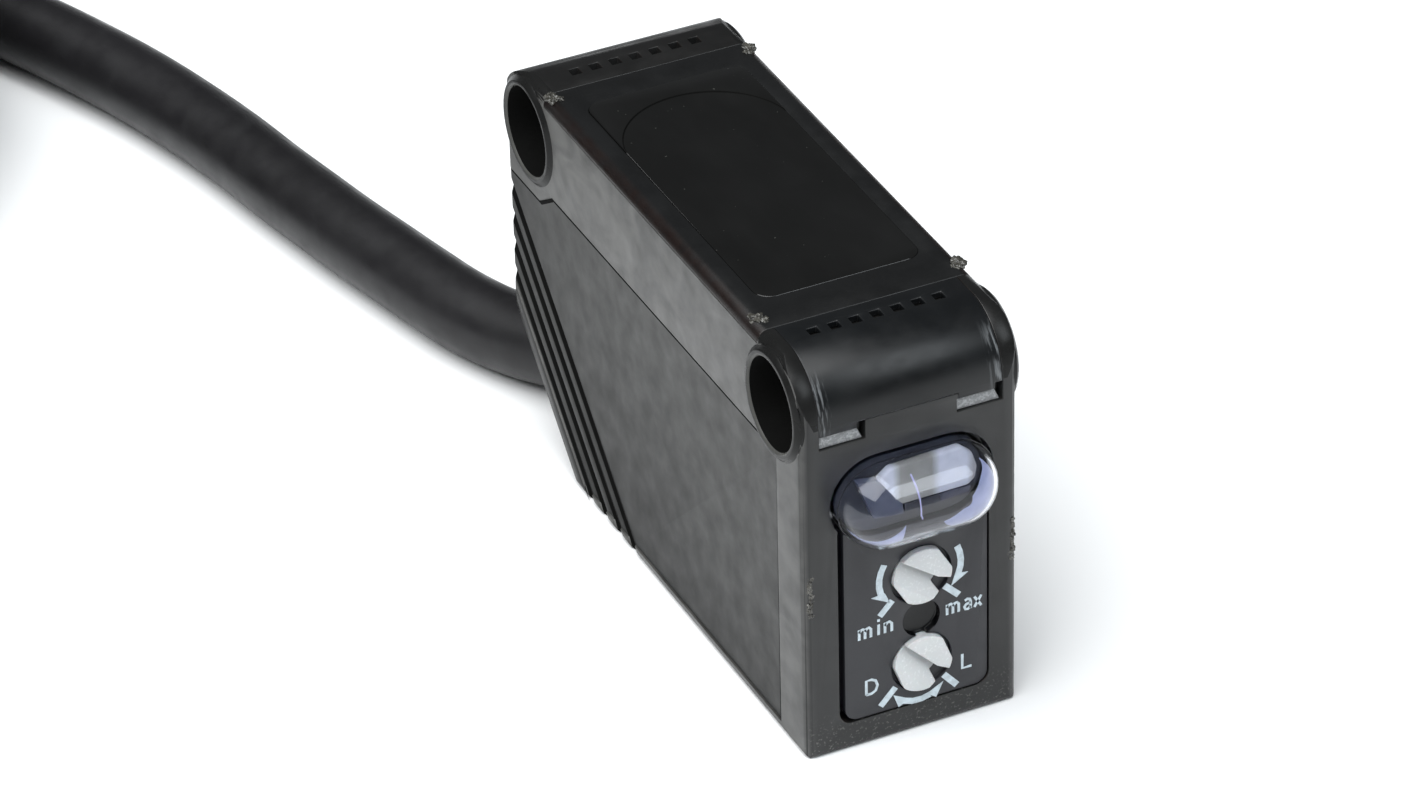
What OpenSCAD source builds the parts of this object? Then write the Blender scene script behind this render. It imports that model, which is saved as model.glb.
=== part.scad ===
// Block-type miniature photoelectric sensor with a pre-wired cable.
// Frame: +Z is the sensing direction, -Y the adjuster end, +Y the cable end, X the width.
// The back face of the case lies on z = 0, and the origin is midway between the two mounting holes.

/* [Case] */
// Length of the case, adjuster end to cable end
case_l = 31; // [30.6:0.1:31.4]
// Width of the case side to side, without the hole rings
case_w = 10.4; // [10.2:0.1:10.6]
// Depth of the case, back face to sensing face
case_d = 20; // [19.8:0.1:20.2]
// Thickness of the side and end walls
wall = 0.9; // [0.8:0.05:1.0]
// Width over the raised rings around the mounting holes
boss_w = 10.8; // [10.6:0.1:11]

/* [Mounting holes] */
// Distance between the two mounting holes
hole_pitch = 25.4; // [25.2:0.1:25.6]
// Height of the hole axis above the back face
hole_z = 17.2; // [17.1:0.05:17.3]
// Radius of the through hole for an M3 screw
hole_r = 1.6; // [1.5:0.05:1.7]
// Radius of the wider mouth at each side of a hole
mouth_r = 2.15; // [2:0.05:2.2]
// Depth of that mouth, from the ring's face
mouth_depth = 2; // [1.5:0.1:2.4]

/* [Adjusters] */
// Distance of both adjuster axes from the middle plane
knob_x = 0.45; // [0.3:0.05:0.6]
// Height of the sensitivity adjuster's axis
sensitivity_z = 8.2; // [8.1:0.05:8.3]
// Height of the operation selector's axis
mode_z = 3.55; // [3.45:0.05:3.65]
// Radius of an adjuster's head
knob_r = 1.4; // [1.3:0.05:1.45]
// Radius of an adjuster's shaft
shaft_r = 0.8; // [0.7:0.05:0.9]
// Radial running clearance around a shaft
clearance = 0.05; // [0.03:0.01:0.08]

/* [Cable] */
// Diameter of the round cable
cable_d = 4; // [3.9:0.1:4.1]
// Diameter of one insulated conductor
conductor_d = 1.1; // [1:0.1:1.2]

/* [Hidden] */
$fn = 64;
eps = 0.01;                          // overlap that joins two solids of one piece
past = 1;                            // how far a cut runs past the face it opens

half_l = case_l / 2;
half_w = case_w / 2;
half_pitch = hole_pitch / 2;
corner_r = half_l - half_pitch;      // arcs of the case about each hole
end_edge_r = 0.55;                   // upright edges of the case
back_edge_r = 0.35;                  // edges of the back face
top_edge_r = 0.55;                   // long edges of the sensing face
back_wall = 1;
end_wall = 1.1;

// The corner at the cable end is cut off at 45 degrees, along z = y - cut_c.
cut_c = 8.6;
cut_wall = 1;
cut_low_r = 0.8;
cut_high_r = 1.2;
rib_pitch = 1.1;                     // across the grip ribs beside the cut
rib_count = 4;
groove_r = 0.3;
groove_depth = 0.22;
groove_l = 40;

// Each side has a shallow label recess, with a raised border above it and at the adjuster end.
recess_depth = 0.1;
recess_margin = 0.5;                 // above the back face
recess_cut_c = 7.5;
border_z = 14.85;
border_y = -12.85;
border_drop = 0.9;                   // the border steps down near the cable end's hole
border_drop_y = [10.4, 11.8];

boss_r = 2.65;
boss_top_r = 2.42;
rim_chamfer = 0.1;
boss_keep = 3;                       // solid kept around each hole axis
cavity_half_w = half_w - wall;
cavity_end = half_l - end_wall;

// Front frame and window
frame_near = -11.2;
frame_far = 10.95;
frame_t = 0.6;
plug_depth = 1.2;
plug_half_l = 9.6;
plug_gap = 0.05;
frame_hole = [[-3.6, -8.7], [3.6, 8.9]];
frame_hole_r = 0.5;
pane_half_w = 3.95;
pane_near = -9;
pane_far = 9.27;
pane_t = 1.1;
pane_corner_r = 0.8;
arc_r = 4;                           // round far end of the clear part of the pane
arc_y = 4.05;
arc_step = 0.08;

// Small notches in a row at each end of the sensing face
notch_count = 7;
notch_pitch = 1;
notch_y = 12.22;
notch_size = [0.5, 0.55, 0.4];

// Nose cap over the corner at the adjuster end, and the two slots under its edge
cap_half_w = 4.4;
cap_t = 0.35;
cap_spare = 0.5;
cap_near_z = 16.8;
cap_tab_z = 17.1;
cap_tab_x = 2.25;
slot_w = 2.2;
slot_z = 16.15;
slot_notch_w = 0.36;
slot_xs = [-4.4, 2.2];
slot_floor_y = -half_l + 0.6;
lug_y = -half_l + 0.15;
lug_gap = 0.03;
lug_foot_gap = 0.08;                 // between a lug's slanted end and its slot

// Adjuster panel
panel_x0 = -3.3;
panel_x1 = 3.75;
panel_z0 = 1.4;
panel_z1 = 12.2;
panel_side_gap = 0.3;
panel_gap = 0.05;
panel_y = -15.45;
panel_t = 0.85;
panel_corner_r = 0.7;
panel_ledge = 0.5;
ledge_corner_r = 0.4;
dimple_r = 0.9;
dimple_depth = 0.35;

// Indicator lens
lens_x = 0;
lens_z = 12.95;
lens_half = 1.7;
lens_r = 2.05;
lens_centre_y = -15.9;
lens_rim = 0.05;                     // how far the lens's flange stands out around it
lens_seat_gap = 0.2;
lens_ledge = 0.4;
lens_pocket_r = 1.3;
lens_pocket_y = -15.9;
pipe_gap = 0.05;                     // between the pale light pipe and the pocket
pipe_split = 0.25;
pipe_split_y = -14;

// Adjusters, and the board behind the panel
knob_face_y = -15.6;
knob_back_y = -15.25;
knob_seat_gap = 0.06;                // around a head and behind it
knob_chamfer = 0.1;
shaft_tip_y = -13.35;
shaft_tip_gap = 0.15;
slot_depth = 0.28;
jaw_w = 0.62;                        // width of the screwdriver slot
jaw_back = 0.35;                     // how far the slot runs past the axis
jaw_open = 0.75;                     // how far in from the rim it is cut right through
board_y = -12.9;
board_t = 0.8;
board_half_w = 4.1;
control_board_z = [1.3, 13.9];
rotary_size = [3.6, 1.4, 3.7];
seal_r = 1.35;
led_half_w = 0.8;
led_half_h = 0.6;
led_t = 0.7;
led_spread = 1.6;
max_angle = -36;                     // slot of the sensitivity adjuster points at max
light_on_angle = -45;                // slot of the selector points at L

// Optics behind the window
optics_board_z = 11.7;
optics_board_half_l = 9.4;
optics_top = optics_board_z + board_t;
holder_z0 = 12.6;
holder_half = [4.2, 9.5];
holder_top = case_d - frame_t - plug_depth;
lens_seat_z = 16.9;
cone_z = 14.4;
cone_r = [1, 3.2];
emitter_pocket = [2.2, 14.2];        // half width and top
receiver_pocket = [3.3, 14.3];
optic_lens_r = 3.7;
optic_dome_r = 8;
optic_apex_z = 18.15;
emitter_y = -4.7;
receiver_y = 4;
emitter_half = [1.6, 1.4];
emitter_h = 0.9;
emitter_dome = [0.8, 0.5];           // radius and height
diode_half = [2, 1.8];
diode_h = 1.1;
can_half = 3;
can_top = 14.2;
can_t = 0.2;
can_aperture_r = 1.2;

// Main board
main_board_z = 6.2;
main_board_y = [-11.8, 7.2];
main_top = main_board_z + board_t;
ic_half_w = 2.5;
ic_y = [-3, 2];
ic_z = [0.1, 1.1];                   // above the board
ic_leg = [0.7, 0.3, 0.4];
ic_leg_pitch = 0.7;
small_chip = [0.8, 1.6, 0.6];
large_chip = [1.6, 2.4, 1.4];
small_chip_y = -8.6;
large_chip_y = 3.2;
pin_r = 0.3;
pin_y = 6.5;
pin_pitch = 2;
edge_pin_pitch = 1.5;
edge_pin = [0.6, 1.7, 0.4];

// Cable: a route from inside the case to the coil, laid by hand on the surface z = 0
cable_r = cable_d / 2;
conductor_r = conductor_d / 2;
CABLE_ROUTE = [
    [0, 8.9, 4.45], [0, 10.2, 4.05], [-0.1, 12, 3.5], [-1.1, 14.3, 2.95], [-2.6, 16.8, 2.4],
    [-3.8, 19.2, 2.1], [-4.9, 22, 2], [-5.7, 25, 2], [-6.4, 28, 2], [-7.1, 31, 2],
    [-7.7, 34, 2], [-8.3, 37, 2], [-9, 41, 2], [-9.9, 45, 2], [-11, 49, 2],
    [-12.4, 53, 2], [-14, 57, 2], [-15.8, 61, 2], [-17.8, 65, 2]
];
gland_r = 2.6;
gland_inner = 2.2;                   // length each side of the gland's point, then its taper
gland_outer = 1.4;
gland_taper = 1.2;
gland_lip = 0.25;
clamp_y = [7.4, 8.2];
clamp_half_w = 3.4;
clamp_r = 1.7;
clamp_z = 4.7;
clamp_gap = 0.1;                     // below the main board
lead_r = 0.4;
LEAD_ROUTE = [[1.1, 8.8, 4.5], [1.25, 7.4, 4.8], [1.6, 5.8, 5.1], [2, 4.9, 5.9]];

// Coil of the stored cable, with its tie, and the free end on top of it
coil_mean_r = 20;
coil_band = 8;                       // half width of the bundle of turns
coil_height = 14.4;
coil_centre = [-45, 62, 0];
top_turn_r = 22;                     // one more whole turn lies on top
tie_t = 0.4;
tie_w = 2.5;
tie_angle = 205;                     // where the tie is, round the coil's axis
tie_head = [3.4, 4.2, 2.2];
tie_head_r = 23.6;
tail_r = 18;
tail_step = 10;
tail_count = 7;
conductor_count = 10;
lane_gap = 0.05;                     // between the conductors where they leave the jacket
fan_step = 0.04;                     // how fast they part
fall_step = 0.6;                     // and come down on the coil
tip_r = 0.35;                        // tinned ends

// Colours, only to tell the pieces apart
black = [0.08, 0.08, 0.08];
charcoal = [0.16, 0.16, 0.16];
jacket = [0.12, 0.13, 0.15];
off_white = [0.9, 0.9, 0.88];
board_green = [0.1, 0.35, 0.2];
tinned = [0.75, 0.76, 0.78];
brown = [0.4, 0.22, 0.1];
blue = [0.12, 0.25, 0.65];

// ---------------------------------------------------------------- helpers

function unit(v) = v / norm(v);
function corner_half(a, p, b) = acos(unit(a - p) * unit(b - p)) / 2;
function corner_tangent(a, p, b, r) = p + unit(a - p) * r / tan(corner_half(a, p, b));
function corner_centre(a, p, b, r) =
    p + unit(unit(a - p) + unit(b - p)) * r / sin(corner_half(a, p, b));

// Convex outline through pts, each corner rounded by its own radius in rs.
module rounded(pts, rs) {
    n = len(pts);
    polygon([
        for (i = [0:n - 1], side = [0, 1])
            let (a = pts[(i + n - 1) % n], b = pts[(i + 1) % n])
                side == 0 ? corner_tangent(a, pts[i], b, rs[i])
                          : corner_tangent(b, pts[i], a, rs[i])
    ]);
    for (i = [0:n - 1])
        translate(corner_centre(pts[(i + n - 1) % n], pts[i], pts[(i + 1) % n], rs[i]))
            circle(r = rs[i]);
}

module rounded_rect(x0, y0, x1, y1, r)
    rounded([[x0, y0], [x1, y0], [x1, y1], [x0, y1]], [r, r, r, r]);

module stadium(half, r) {
    translate([-half, -r]) square([2 * half, 2 * r]);
    for (s = [-1, 1])
        translate([s * half, 0]) circle(r = r);
}

// Extrusions whose outline is drawn in (y, z) or in (x, z).
module along_x(w)
    rotate([90, 0, 90]) linear_extrude(w, center = true) children();

module along_y(y0, y1)
    translate([0, y1, 0]) rotate([90, 0, 0]) linear_extrude(y1 - y0) children();

module rod_x(y, z, r, w)
    translate([0, y, z]) rotate([0, 90, 0]) cylinder(r = r, h = w, center = true);

module rod_y(x, z, r, y0, y1)
    translate([x, y1, z]) rotate([90, 0, 0]) cylinder(r = r, h = y1 - y0);

module box(lo, hi)
    translate(lo) cube(hi - lo);

// Tube of radius r along the points of a route, as one closed polyhedron.
function route_dir(p, i) = unit(p[min(i + 1, len(p) - 1)] - p[max(i - 1, 0)]);
module sweep(p, r, sides = 12) {
    up = [0, 0, 1];
    rings = [
        for (i = [0:len(p) - 1])
            let (d = route_dir(p, i), u = unit(cross(up, d)), v = cross(d, u))
                for (k = [0:sides - 1])
                    p[i] + r * (u * cos(360 * k / sides) + v * sin(360 * k / sides))
    ];
    walls = [
        for (i = [0:len(p) - 2], k = [0:sides - 1])
            let (a = i * sides, k2 = (k + 1) % sides)
                [a + k, a + sides + k, a + sides + k2, a + k2]
    ];
    last = (len(p) - 1) * sides;
    polyhedron(
        points = rings,
        faces = concat(walls, [[for (k = [0:sides - 1]) k]],
            [[for (k = [sides - 1:-1:0]) last + k]])
    );
}

// ---------------------------------------------------------------- case

side_pts = [
    [-half_l, 0], [cut_c, 0], [half_l, half_l - cut_c], [half_l, case_d], [-half_l, case_d]
];
side_rs = [back_edge_r, cut_low_r, cut_high_r, corner_r, corner_r];

module case_block() {
    intersection() {
        along_x(case_w) rounded(side_pts, side_rs);
        translate([0, 0, -past]) linear_extrude(case_d + 2 * past)
            rounded_rect(-half_w, -half_l, half_w, half_l, end_edge_r);
        along_y(-half_l - past, half_l + past)
            rounded([[-half_w, 0], [half_w, 0], [half_w, case_d], [-half_w, case_d]],
                [back_edge_r, back_edge_r, top_edge_r, top_edge_r]);
    }
}

module case_cavity() {
    inner_c = cut_c - cut_wall * sqrt(2);
    boss_z = hole_z - boss_keep;
    boss_y = half_pitch - boss_keep;
    along_x(2 * cavity_half_w) polygon([
        [-cavity_end, back_wall], [inner_c + back_wall, back_wall],
        [cavity_end, cavity_end - inner_c], [cavity_end, boss_z], [boss_y, boss_z],
        [boss_y, case_d + past], [-boss_y, case_d + past], [-boss_y, boss_z],
        [-cavity_end, boss_z]
    ]);
}

module hole_rings() {
    for (y = [-half_pitch, half_pitch]) {
        rod_x(y, hole_z, boss_r, case_w);
        for (s = [-1, 1])
            translate([s * half_w, y, hole_z]) rotate([0, s * 90, 0])
                cylinder(r1 = boss_r, r2 = boss_top_r, h = (boss_w - case_w) / 2);
    }
}

module hole_bores() {
    for (y = [-half_pitch, half_pitch]) {
        rod_x(y, hole_z, hole_r, boss_w + 2 * past);
        for (s = [-1, 1])
            translate([s * (boss_w / 2 - mouth_depth), y, hole_z]) rotate([0, s * 90, 0]) {
                cylinder(r = mouth_r, h = mouth_depth + past);
                translate([0, 0, mouth_depth - rim_chamfer])
                    cylinder(r1 = mouth_r, r2 = mouth_r + 2 * rim_chamfer, h = 2 * rim_chamfer);
            }
    }
}

// Grip grooves parallel to the cut corner, on both sides.
module grip_grooves() {
    x = half_w - recess_depth + groove_r - groove_depth;
    for (s = [-1, 1], i = [1:rib_count])
        translate([s * x, cut_c - i * rib_pitch * sqrt(2), 0]) rotate([-45, 0, 0])
            cylinder(r = groove_r, h = groove_l, center = true);
}

// Shallow label recess on both sides.
module label_recess() {
    far = half_l + past;
    low_z = border_z - border_drop;
    for (s = [-1, 1])
        translate([s * (half_w - recess_depth + past / 2), 0, 0]) along_x(past)
            polygon([
                [border_y, recess_margin], [recess_cut_c + recess_margin, recess_margin],
                [far, far - recess_cut_c], [far, low_z], [border_drop_y[1], low_z],
                [border_drop_y[0], border_z], [border_y, border_z]
            ]);
}

module notch_row(y) {
    for (i = [0:notch_count - 1])
        translate([(i - (notch_count - 1) / 2) * notch_pitch, y, case_d])
            cube([notch_size[0], notch_size[1], 2 * notch_size[2]], center = true);
}

// Skin over the corner that the nose cap takes from the case; spare makes it stand proud outside.
module cap_skin(spare) {
    along_x(2 * cap_half_w) {
        intersection() {
            translate([-half_pitch, hole_z]) difference() {
                circle(r = corner_r + spare);
                circle(r = corner_r - cap_t);
            }
            translate([-half_l - past, hole_z])
                square([corner_r + past, corner_r + past]);
        }
        translate([-half_l - spare, cap_near_z])
            square([cap_t + spare, hole_z - cap_near_z + eps]);
        translate([-half_pitch - eps, case_d - cap_t])
            square([half_pitch + frame_near + eps, cap_t + spare]);
    }
}

// Middle tab of the end wall that reaches up between the cap's two legs.
module cap_tab_block()
    box([-cap_tab_x, -half_l - past, cap_near_z - past],
        [cap_tab_x, -half_l + cap_t + eps, cap_tab_z]);

// Two slots under the cap's edge, each with a taller notch at its right-hand end.
module latch_slots() {
    for (x = slot_xs)
        box([x, -half_l - past, slot_z], [x + slot_w, slot_floor_y, cap_near_z + eps]);
}

module latch_notches() {
    for (x = slot_xs)
        box([x + slot_w - slot_notch_w, -half_l - past, slot_z],
            [x + slot_w + eps, slot_floor_y, cap_tab_z]);
}

module lens_outline(grow)
    translate([lens_x, lens_z]) stadium(lens_half, lens_r + grow);

// Opening for the panel and the lens, with a narrower ledge behind them.
module case_end_opening() {
    along_y(-half_l - past, -half_l + wall) {
        rounded_rect(panel_x0 - panel_side_gap, panel_z0, panel_x1, panel_z1, panel_corner_r);
        lens_outline(lens_seat_gap);
    }
    along_y(-half_l, -cavity_end + eps) {
        rounded_rect(panel_x0 + panel_ledge, panel_z0 + panel_ledge, panel_x1 - panel_ledge,
            panel_z1, ledge_corner_r);
        lens_outline(-lens_ledge);
    }
}

module main_case() {
    color(charcoal) difference() {
        union() {
            difference() {
                case_block();
                label_recess();
            }
            hole_rings();
        }
        case_cavity();
        hole_bores();
        grip_grooves();
        notch_row(notch_y);
        box([-half_w - past, frame_near, case_d - frame_t],
            [half_w + past, frame_far, case_d + past]);
        difference() {
            cap_skin(cap_spare);
            cap_tab_block();
        }
        latch_slots();
        latch_notches();
        case_end_opening();
        gland_bore();
    }
}

module nose_cap() {
    color(jacket) difference() {
        cap_skin(0);
        cap_tab_block();
        latch_notches();
        notch_row(-notch_y);
    }
}

// Lugs of the lighter inner plastic that hold the cap, seen through its two slots.
module latch_lugs() {
    top_z = cap_near_z - lug_gap;
    color([0.62, 0.62, 0.6]) for (x = slot_xs)
        along_y(lug_y, slot_floor_y)
            polygon([
                [x + eps, slot_z], [x + slot_w - lug_foot_gap, slot_z],
                [x + slot_w - slot_notch_w, top_z], [x + eps, top_z]
            ]);
}

// ---------------------------------------------------------------- sensing face

module pane_outline()
    rounded_rect(-pane_half_w, pane_near, pane_half_w, pane_far, pane_corner_r);

module front_frame() {
    seat = case_d - frame_t;
    color([0.1, 0.1, 0.11]) difference() {
        union() {
            intersection() {
                case_block();
                box([-half_w, frame_near, seat], [half_w, frame_far, case_d]);
            }
            box([plug_gap - cavity_half_w, -plug_half_l, seat - plug_depth],
                [cavity_half_w - plug_gap, plug_half_l, seat]);
        }
        translate([0, 0, case_d - pane_t]) linear_extrude(pane_t + past) pane_outline();
        translate([0, 0, seat - plug_depth - past]) linear_extrude(frame_t + plug_depth + past)
            rounded_rect(frame_hole[0][0], frame_hole[0][1], frame_hole[1][0],
                frame_hole[1][1], frame_hole_r);
    }
}

// The filter window: its far corners stand a hair above the round-ended clear part.
module window_pane() {
    color([0.03, 0.03, 0.035]) {
        translate([0, 0, case_d - pane_t]) linear_extrude(pane_t) pane_outline();
        translate([0, 0, case_d - eps]) linear_extrude(arc_step) difference() {
            intersection() {
                pane_outline();
                translate([-pane_half_w, arc_y]) square([2 * pane_half_w, pane_far]);
            }
            translate([0, arc_y]) circle(r = arc_r);
        }
    }
}

// Black block with a seat, a cone and a pocket for each half of the optics.
module optics_holder() {
    color([0.09, 0.09, 0.1]) difference() {
        box([-holder_half[0], -holder_half[1], holder_z0],
            [holder_half[0], holder_half[1], holder_top]);
        for (y = [emitter_y, receiver_y]) {
            translate([0, y, lens_seat_z])
                cylinder(r = optic_lens_r + clearance, h = holder_top - lens_seat_z + past);
            translate([0, y, cone_z])
                cylinder(r1 = cone_r[0], r2 = cone_r[1], h = lens_seat_z - cone_z + eps);
            translate([0, y, holder_z0 - past])
                cylinder(r = cone_r[0], h = cone_z - holder_z0 + past + eps);
        }
        for (p = [[emitter_y, emitter_pocket], [receiver_y, receiver_pocket]])
            box([-p[1][0], p[0] - p[1][0], holder_z0 - past],
                [p[1][0], p[0] + p[1][0], p[1][1]]);
    }
}

module optic_lens(y) {
    base_z = lens_seat_z + clearance;
    intersection() {
        translate([0, y, base_z]) cylinder(r = optic_lens_r, h = holder_top - base_z);
        translate([0, y, optic_apex_z - optic_dome_r]) sphere(r = optic_dome_r);
    }
}

module emitter_lens() { color([0.75, 0.2, 0.2, 0.6]) optic_lens(emitter_y); }

module receiver_lens() { color([0.8, 0.8, 0.85, 0.6]) optic_lens(receiver_y); }

module emitter_led() {
    color([0.85, 0.85, 0.8]) {
        box([-emitter_half[0], emitter_y - emitter_half[1], optics_top],
            [emitter_half[0], emitter_y + emitter_half[1], optics_top + emitter_h]);
        translate([0, emitter_y, optics_top + emitter_h - eps])
            cylinder(r = emitter_dome[0], h = emitter_dome[1]);
    }
}

module receiver_photodiode() {
    color([0.12, 0.12, 0.14])
        box([-diode_half[0], receiver_y - diode_half[1], optics_top],
            [diode_half[0], receiver_y + diode_half[1], optics_top + diode_h]);
}

// Tin can over the photodiode, with a round aperture.
module receiver_shield() {
    inner = can_half - can_t;
    color(tinned) difference() {
        box([-can_half, receiver_y - can_half, optics_top],
            [can_half, receiver_y + can_half, can_top]);
        box([-inner, receiver_y - inner, optics_board_z],
            [inner, receiver_y + inner, can_top - can_t]);
        translate([0, receiver_y, can_top - past]) cylinder(r = can_aperture_r, h = 2 * past);
    }
}

// ---------------------------------------------------------------- circuit boards

module optics_board() {
    color(board_green)
        box([-board_half_w, -optics_board_half_l, optics_board_z],
            [board_half_w, optics_board_half_l, optics_top]);
}

module main_board() {
    color(board_green)
        box([-board_half_w, main_board_y[0], main_board_z],
            [board_half_w, main_board_y[1], main_top]);
}

module control_board() {
    color(board_green)
        box([-board_half_w, board_y, control_board_z[0]],
            [board_half_w, board_y + board_t, control_board_z[1]]);
}

module main_ic() {
    color(black) {
        box([-ic_half_w, ic_y[0], main_top + ic_z[0]], [ic_half_w, ic_y[1], main_top + ic_z[1]]);
        for (s = [-1, 1], i = [0:6])
            translate([s * (ic_half_w + ic_leg[0] / 2 - eps), ic_y[0] + ic_leg[1]
                + i * ic_leg_pitch, main_top + ic_leg[2] / 2]) cube(ic_leg, center = true);
    }
}

// Five small chips at one end of the board and three large ones at the other.
module passives() {
    color([0.7, 0.6, 0.45]) {
        for (i = [-2:2])
            translate([2 * small_chip[0] * i - small_chip[0] / 2, small_chip_y, main_top])
                cube(small_chip);
        for (i = [-1:1])
            translate([1.5 * large_chip[0] * i - large_chip[0] / 2, large_chip_y, main_top])
                cube(large_chip);
    }
}

// Pins that join the boards: four upright ones and five along the adjuster board's edge.
module board_pins() {
    color([0.85, 0.75, 0.45]) {
        for (i = [-1.5:1.5])
            translate([pin_pitch * i, pin_y, main_top])
                cylinder(r = pin_r, h = optics_board_z - main_top, $fn = 24);
        for (i = [-2:2])
            translate([edge_pin_pitch * i - edge_pin[0] / 2, board_y + board_t, main_top])
                cube(edge_pin);
    }
}

// Three leads from the cable's inner end, parting to their pads under the main board.
module inner_leads() {
    for (lane = [-1, 0, 1])
        color([brown, black, blue][lane + 1])
            sweep([for (p = LEAD_ROUTE) [lane * p[0], p[1], p[2]]], lead_r);
}

// ---------------------------------------------------------------- adjuster end

module indicator_led(x) {
    box([x - led_half_w, board_y - led_t, lens_z - led_half_h],
        [x + led_half_w, board_y, lens_z + led_half_h]);
}

module operation_led() { color([1, 0.5, 0.1]) indicator_led(lens_x - led_spread); }

module stability_led() { color([0.2, 0.8, 0.3]) indicator_led(lens_x + led_spread); }

// Pale light pipes under the clear lens, parted by a dark gap so the two colours stay apart.
module indicator_diffuser() {
    color(off_white) difference() {
        along_y(lens_pocket_y + pipe_gap, board_y - led_t - pipe_gap)
            translate([lens_x, lens_z]) stadium(lens_half, lens_pocket_r - pipe_gap);
        box([lens_x - pipe_split, lens_pocket_y - past, lens_z - lens_r],
            [lens_x + pipe_split, pipe_split_y, lens_z + lens_r]);
    }
}

// Clear lens: a capsule that bulges out of the end, on a flat flange.
module indicator_lens() {
    color([0.72, 0.76, 0.95, 0.45]) difference() {
        union() {
            intersection() {
                translate([lens_x, lens_centre_y, lens_z]) {
                    rotate([0, 90, 0]) cylinder(r = lens_r, h = 2 * lens_half, center = true);
                    for (s = [-1, 1])
                        translate([s * lens_half, 0, 0]) sphere(r = lens_r);
                }
                along_y(lens_centre_y - 2 * lens_r, lens_centre_y) lens_outline(past);
            }
            along_y(lens_centre_y - eps, -half_l + wall) lens_outline(lens_rim);
        }
        along_y(lens_pocket_y, board_y)
            translate([lens_x, lens_z]) stadium(lens_half, lens_pocket_r);
    }
}

module control_panel() {
    color([0.2, 0.2, 0.22]) difference() {
        along_y(panel_y, panel_y + panel_t)
            rounded_rect(panel_x0, panel_z0 + panel_gap, panel_x1 - panel_gap, panel_z1,
                panel_corner_r - panel_gap);
        along_y(panel_y - past, panel_y + past) lens_outline(lens_rim + panel_gap);
        for (z = [sensitivity_z, mode_z]) {
            rod_y(knob_x, z, shaft_r + clearance, panel_y - past, panel_y + past);
            rod_y(knob_x, z, knob_r + knob_seat_gap, panel_y - past,
                knob_back_y + knob_seat_gap);
        }
        rod_y(knob_x, (sensitivity_z + mode_z) / 2, dimple_r, panel_y - past,
            panel_y + dimple_depth);
    }
}

// One adjuster: round head with a screwdriver slot that opens at its rim, on a short shaft.
module adjuster(z, angle) {
    rim_y = knob_face_y + knob_chamfer;
    translate([knob_x, 0, z]) rotate([0, -angle, 0]) difference() {
        union() {
            rod_y(0, 0, knob_r, rim_y, knob_back_y);
            translate([0, rim_y + eps, 0]) rotate([90, 0, 0])
                cylinder(r1 = knob_r, r2 = knob_r - knob_chamfer, h = knob_chamfer + eps);
            rod_y(0, 0, shaft_r, knob_back_y - eps, shaft_tip_y);
        }
        box([-jaw_back, knob_face_y - past, -jaw_w / 2],
            [knob_r + past, knob_face_y + slot_depth, jaw_w / 2]);
        box([knob_r - jaw_open, knob_face_y - past, -jaw_w / 2],
            [knob_r + past, knob_back_y + eps, jaw_w / 2]);
    }
}

module sensitivity_knob() { color(off_white) adjuster(sensitivity_z, max_angle); }

module mode_knob() { color(off_white) adjuster(mode_z, light_on_angle); }

// Trimmer or switch body on the adjuster board, with a blind bore for the shaft.
module rotary_body(z) {
    difference() {
        box([knob_x - rotary_size[0] / 2, board_y - rotary_size[1], z - rotary_size[2] / 2],
            [knob_x + rotary_size[0] / 2, board_y, z + rotary_size[2] / 2]);
        rod_y(knob_x, z, shaft_r + clearance, board_y - rotary_size[1] - past,
            shaft_tip_y + shaft_tip_gap);
    }
}

module sensitivity_trimmer() { color([0.15, 0.3, 0.6]) rotary_body(sensitivity_z); }

module mode_switch() { color([0.2, 0.2, 0.22]) rotary_body(mode_z); }

// Flat rubber rings behind the panel that keep water out of the shaft holes.
module shaft_seals() {
    color(black) for (z = [sensitivity_z, mode_z])
        difference() {
            rod_y(knob_x, z, seal_r, panel_y + panel_t, board_y - rotary_size[1]);
            rod_y(knob_x, z, shaft_r + clearance, panel_y, board_y);
        }
}

// ---------------------------------------------------------------- cable

gland_point = CABLE_ROUTE[2];
gland_dir = unit(CABLE_ROUTE[2] - CABLE_ROUTE[1]);
module along_gland(from, to, r0, r1) {
    translate(gland_point) rotate([0, acos(gland_dir[2]), atan2(gland_dir[1], gland_dir[0])])
        translate([0, 0, from]) cylinder(r1 = r0, r2 = r1, h = to - from);
}

module gland_bore()
    along_gland(-gland_inner - past, gland_outer + 2 * past, gland_r, gland_r);

module cable_gland() {
    color(black) difference() {
        union() {
            along_gland(-gland_inner, gland_outer, gland_r, gland_r);
            along_gland(gland_outer, gland_outer + gland_taper, gland_r, cable_r + gland_lip);
        }
        along_gland(-gland_inner - past, gland_outer + gland_taper + past, cable_r, cable_r);
    }
}

module cable_clamp() {
    color(tinned) difference() {
        box([-clamp_half_w, clamp_y[0], back_wall],
            [clamp_half_w, clamp_y[1], main_board_z - clamp_gap]);
        rod_y(0, clamp_z, clamp_r, clamp_y[0] - past, clamp_y[1] + past);
    }
}

module cable() { color(jacket) sweep(CABLE_ROUTE, cable_r); }

// Outline of the bundle of turns in (r, z), above the tie that passes under it.
module coil_section(grow) {
    translate([coil_mean_r - coil_band - grow, tie_t - grow])
        rounded_rect(0, 0, 2 * (coil_band + grow), coil_height + 2 * grow, cable_r + grow);
    translate([top_turn_r, tie_t + coil_height + cable_r]) circle(r = cable_r + grow);
    translate([top_turn_r - cable_r - grow, tie_t + cable_r])
        square([2 * (cable_r + grow), coil_height]);
}

module cable_coil() {
    color(jacket) translate(coil_centre) rotate_extrude($fn = 96) coil_section(0);
}

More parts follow.
